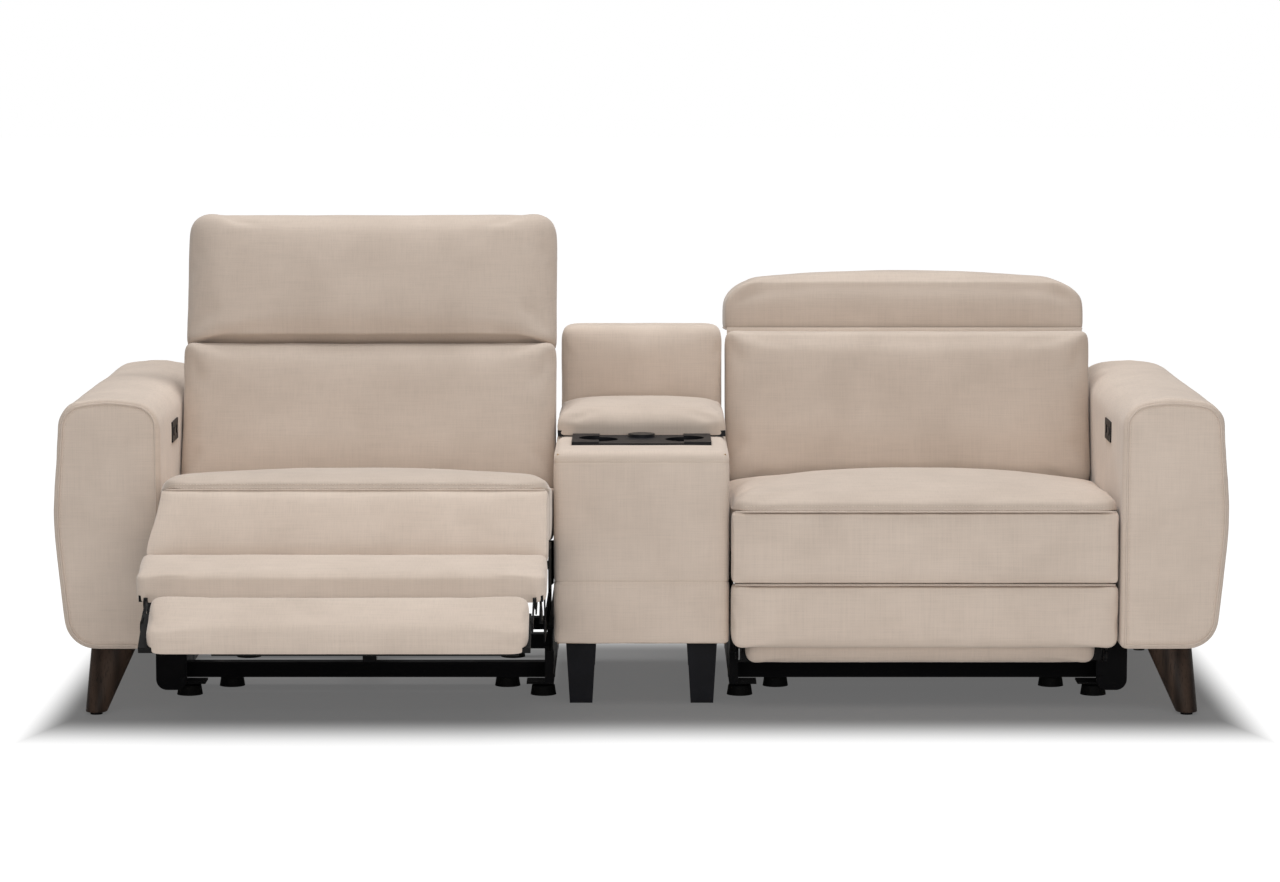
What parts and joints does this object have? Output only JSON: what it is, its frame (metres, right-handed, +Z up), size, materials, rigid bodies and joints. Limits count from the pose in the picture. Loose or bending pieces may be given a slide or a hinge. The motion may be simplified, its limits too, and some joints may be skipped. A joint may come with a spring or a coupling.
{
  "type": "two seat reclining sofa with centre console",
  "caption": "Power reclining two seat sofa with folding footrests, fold-back headrests and a centre console with a cup tray, a padded bin lid and a drop down back.",
  "frame": {"origin": "on the floor, under the middle of the stored pose (left seat open, right seat closed)", "axes": "+X from the left arm to the right arm as seen from the front, +Y from the front to the back, +Z up"},
  "size_m": [2.296, 1.6627, 0.9611],
  "materials": {
    "upholstery": "matte beige woven velvet",
    "frame_wood": "raw plywood",
    "black_board": "black painted board",
    "black_steel": "satin black",
    "black_plastic": "satin black",
    "gloss_black": "gloss black",
    "walnut": "satin stained walnut"
  },
  "bodies": {
    "sofa_body": {"left_arm_frame": "frame_wood", "right_arm_frame": "frame_wood", "left_arm_cover": "upholstery", "right_arm_cover": "upholstery", "left_arm_legs": "walnut", "right_arm_legs": "walnut", "leg_glides": "black_plastic", "console_cabinet": "frame_wood", "console_cover": "upholstery", "console_tray": "black_plastic", "tray_cap": "gloss_black", "console_legs": "black_plastic", "console_hinges": "black_steel", "left_base": "black_steel", "right_base": "black_steel", "base_feet": "black_plastic", "left_motor": "black_plastic", "right_motor": "black_plastic", "left_switch_plate": "black_plastic", "right_switch_plate": "black_plastic"},
    "console_lid": {"console_lid_board": "black_plastic", "console_lid_pad": "upholstery"},
    "console_back": {"console_back_board": "frame_wood", "console_back_pad": "upholstery"},
    "left_glide_carriage": {"left_carriage": "black_steel"},
    "left_lift_link_pair": {"left_lift_links": "black_steel"},
    "left_seat": {"left_seat_frame": "black_board", "left_seat_cushion": "upholstery"},
    "left_border": {"left_front_border": "upholstery"},
    "left_back": {"left_back_frame": "frame_wood", "left_back_cushion": "upholstery"},
    "left_headrest": {"left_headrest_frame": "frame_wood", "left_headrest_cushion": "upholstery"},
    "left_swing_arm_pair": {"left_swing_arms": "black_steel"},
    "left_fold_arm_pair": {"left_fold_arms": "black_steel"},
    "left_footrest": {"left_footrest_board": "black_board", "left_footrest_pad": "upholstery"},
    "left_flip_link_pair": {"left_flip_links": "black_steel"},
    "left_flipper": {"left_flipper_board": "black_board", "left_flipper_pad": "upholstery"},
    "left_open_key": {"left_open_button": "black_plastic"},
    "left_close_key": {"left_close_button": "black_plastic"},
    "right_glide_carriage": {"right_carriage": "black_steel"},
    "right_lift_link_pair": {"right_lift_links": "black_steel"},
    "right_seat": {"right_seat_frame": "black_board", "right_seat_cushion": "upholstery"},
    "right_border": {"right_front_border": "upholstery"},
    "right_back": {"right_back_frame": "frame_wood", "right_back_cushion": "upholstery"},
    "right_headrest": {"right_headrest_frame": "frame_wood", "right_headrest_cushion": "upholstery"},
    "right_swing_arm_pair": {"right_swing_arms": "black_steel"},
    "right_fold_arm_pair": {"right_fold_arms": "black_steel"},
    "right_footrest": {"right_footrest_board": "black_board", "right_footrest_pad": "upholstery"},
    "right_flip_link_pair": {"right_flip_links": "black_steel"},
    "right_flipper": {"right_flipper_board": "black_board", "right_flipper_pad": "upholstery"},
    "right_open_key": {"right_open_button": "black_plastic"},
    "right_close_key": {"right_close_button": "black_plastic"}
  },
  "joints": [
    {"name": "left_seat_glide", "type": "slide", "parent": "sofa_body", "child": "left_glide_carriage", "axis": [0, -1, 0], "range_m": [-0.25, 0.035]},
    {"name": "left_lift_turn", "type": "hinge", "parent": "left_glide_carriage", "child": "left_lift_link_pair", "pos_m": [-0.555, -0.223, 0.269], "axis": [-1, 0, 0], "range_deg": [-47.74, 6.7]},
    {"name": "left_seat_tilt", "type": "hinge", "parent": "left_glide_carriage", "child": "left_seat", "pos_m": [-0.555, 0.155, 0.25], "axis": [-1, 0, 0], "range_deg": [-7.02, 1]},
    {"name": "left_border_turn", "type": "hinge", "parent": "left_seat", "child": "left_border", "pos_m": [-0.555, -0.40203, 0.47254], "axis": [-1, 0, 0], "range_deg": [-24.02, 3.38]},
    {"name": "left_swing_turn", "type": "hinge", "parent": "left_seat", "child": "left_swing_arm_pair", "pos_m": [-0.555, -0.32325, 0.29361], "axis": [-1, 0, 0], "range_deg": [-75.21, 10.55]},
    {"name": "left_fold_turn", "type": "hinge", "parent": "left_swing_arm_pair", "child": "left_fold_arm_pair", "pos_m": [-0.555, -0.45044, 0.2351], "axis": [-1, 0, 0], "range_deg": [-15.3, 109.19]},
    {"name": "left_footrest_turn", "type": "hinge", "parent": "left_fold_arm_pair", "child": "left_footrest", "pos_m": [-0.555, -0.5689, 0.28864], "axis": [-1, 0, 0], "range_deg": [-104, 14.58]},
    {"name": "left_flip_link_turn", "type": "hinge", "parent": "left_footrest", "child": "left_flip_link_pair", "pos_m": [-0.555, -0.66343, 0.29219], "axis": [-1, 0, 0], "range_deg": [-129.04, 18.08]},
    {"name": "left_flipper_turn", "type": "hinge", "parent": "left_flip_link_pair", "child": "left_flipper", "pos_m": [-0.555, -0.74627, 0.26162], "axis": [-1, 0, 0], "range_deg": [-20.46, 146.04]},
    {"name": "left_back_recline", "type": "hinge", "parent": "left_seat", "child": "left_back", "pos_m": [-0.555, 0.16475, 0.3294], "axis": [-1, 0, 0], "range_deg": [0, 35]},
    {"name": "left_headrest_fold", "type": "hinge", "parent": "left_back", "child": "left_headrest", "pos_m": [-0.555, 0.34352, 0.66675], "axis": [1, 0, 0], "range_deg": [-80, 0]},
    {"name": "left_open_press", "type": "slide", "parent": "sofa_body", "child": "left_open_key", "axis": [-1, 0, 0], "range_m": [0, 0.0015], "stiffness_N_per_m": 600, "springref_m": -0.001},
    {"name": "left_close_press", "type": "slide", "parent": "sofa_body", "child": "left_close_key", "axis": [-1, 0, 0], "range_m": [0, 0.0015], "stiffness_N_per_m": 600, "springref_m": -0.001},
    {"name": "right_seat_glide", "type": "slide", "parent": "sofa_body", "child": "right_glide_carriage", "axis": [0, -1, 0], "range_m": [0, 0.285]},
    {"name": "right_lift_turn", "type": "hinge", "parent": "right_glide_carriage", "child": "right_lift_link_pair", "pos_m": [0.555, 0.027, 0.269], "axis": [-1, 0, 0], "range_deg": [0, 54.42]},
    {"name": "right_seat_tilt", "type": "hinge", "parent": "right_glide_carriage", "child": "right_seat", "pos_m": [0.555, 0.405, 0.25], "axis": [-1, 0, 0], "range_deg": [0, 8]},
    {"name": "right_border_turn", "type": "hinge", "parent": "right_seat", "child": "right_border", "pos_m": [0.555, -0.175, 0.403], "axis": [-1, 0, 0], "range_deg": [0, 27.38]},
    {"name": "right_swing_turn", "type": "hinge", "parent": "right_seat", "child": "right_swing_arm_pair", "pos_m": [0.555, -0.075, 0.235], "axis": [-1, 0, 0], "range_deg": [0, 85.73]},
    {"name": "right_fold_turn", "type": "hinge", "parent": "right_swing_arm_pair", "child": "right_fold_arm_pair", "pos_m": [0.555, -0.03433, 0.10104], "axis": [-1, 0, 0], "range_deg": [-124.47, 0]},
    {"name": "right_footrest_turn", "type": "hinge", "parent": "right_fold_arm_pair", "child": "right_footrest", "pos_m": [0.555, -0.1156, 0.2025], "axis": [-1, 0, 0], "range_deg": [0, 118.56]},
    {"name": "right_flip_link_turn", "type": "hinge", "parent": "right_footrest", "child": "right_flip_link_pair", "pos_m": [0.555, -0.14033, 0.11119], "axis": [-1, 0, 0], "range_deg": [0, 147.1]},
    {"name": "right_flipper_turn", "type": "hinge", "parent": "right_flip_link_pair", "child": "right_flipper", "pos_m": [0.555, -0.0793, 0.175], "axis": [-1, 0, 0], "range_deg": [-166.48, 0]},
    {"name": "right_back_recline", "type": "hinge", "parent": "right_seat", "child": "right_back", "pos_m": [0.555, 0.405, 0.33], "axis": [-1, 0, 0], "range_deg": [0, 35]},
    {"name": "right_headrest_fold", "type": "hinge", "parent": "right_back", "child": "right_headrest", "pos_m": [0.555, 0.54132, 0.68661], "axis": [1, 0, 0], "range_deg": [0, 80]},
    {"name": "right_open_press", "type": "slide", "parent": "sofa_body", "child": "right_open_key", "axis": [1, 0, 0], "range_m": [0, 0.0015], "stiffness_N_per_m": 600, "springref_m": -0.001},
    {"name": "right_close_press", "type": "slide", "parent": "sofa_body", "child": "right_close_key", "axis": [1, 0, 0], "range_m": [0, 0.0015], "stiffness_N_per_m": 600, "springref_m": -0.001},
    {"name": "lid_lift", "type": "hinge", "parent": "sofa_body", "child": "console_lid", "pos_m": [0, 0.356, 0.56], "axis": [1, 0, 0], "range_deg": [-80, 0]},
    {"name": "console_back_drop", "type": "hinge", "parent": "sofa_body", "child": "console_back", "pos_m": [0, 0.383, 0.563], "axis": [1, 0, 0], "range_deg": [0, 88]}
  ],
  "couplings": [
    {"joint": "left_lift_turn", "follows": "left_seat_glide", "rad_per_m": 3.3317},
    {"joint": "left_seat_tilt", "follows": "left_seat_glide", "rad_per_m": 0.48869},
    {"joint": "left_border_turn", "follows": "left_seat_glide", "rad_per_m": 1.6755},
    {"joint": "left_swing_turn", "follows": "left_seat_glide", "rad_per_m": 5.249},
    {"joint": "left_fold_turn", "follows": "left_seat_glide", "rad_per_m": -7.6213},
    {"joint": "left_footrest_turn", "follows": "left_seat_glide", "rad_per_m": 7.2592},
    {"joint": "left_flip_link_turn", "follows": "left_seat_glide", "rad_per_m": 9.0072},
    {"joint": "left_flipper_turn", "follows": "left_seat_glide", "rad_per_m": -10.194},
    {"joint": "right_lift_turn", "follows": "right_seat_glide", "rad_per_m": 3.3317},
    {"joint": "right_seat_tilt", "follows": "right_seat_glide", "rad_per_m": 0.48869},
    {"joint": "right_border_turn", "follows": "right_seat_glide", "rad_per_m": 1.6755},
    {"joint": "right_swing_turn", "follows": "right_seat_glide", "rad_per_m": 5.249},
    {"joint": "right_fold_turn", "follows": "right_seat_glide", "rad_per_m": -7.6213},
    {"joint": "right_footrest_turn", "follows": "right_seat_glide", "rad_per_m": 7.2592},
    {"joint": "right_flip_link_turn", "follows": "right_seat_glide", "rad_per_m": 9.0072},
    {"joint": "right_flipper_turn", "follows": "right_seat_glide", "rad_per_m": -10.194}
  ]
}
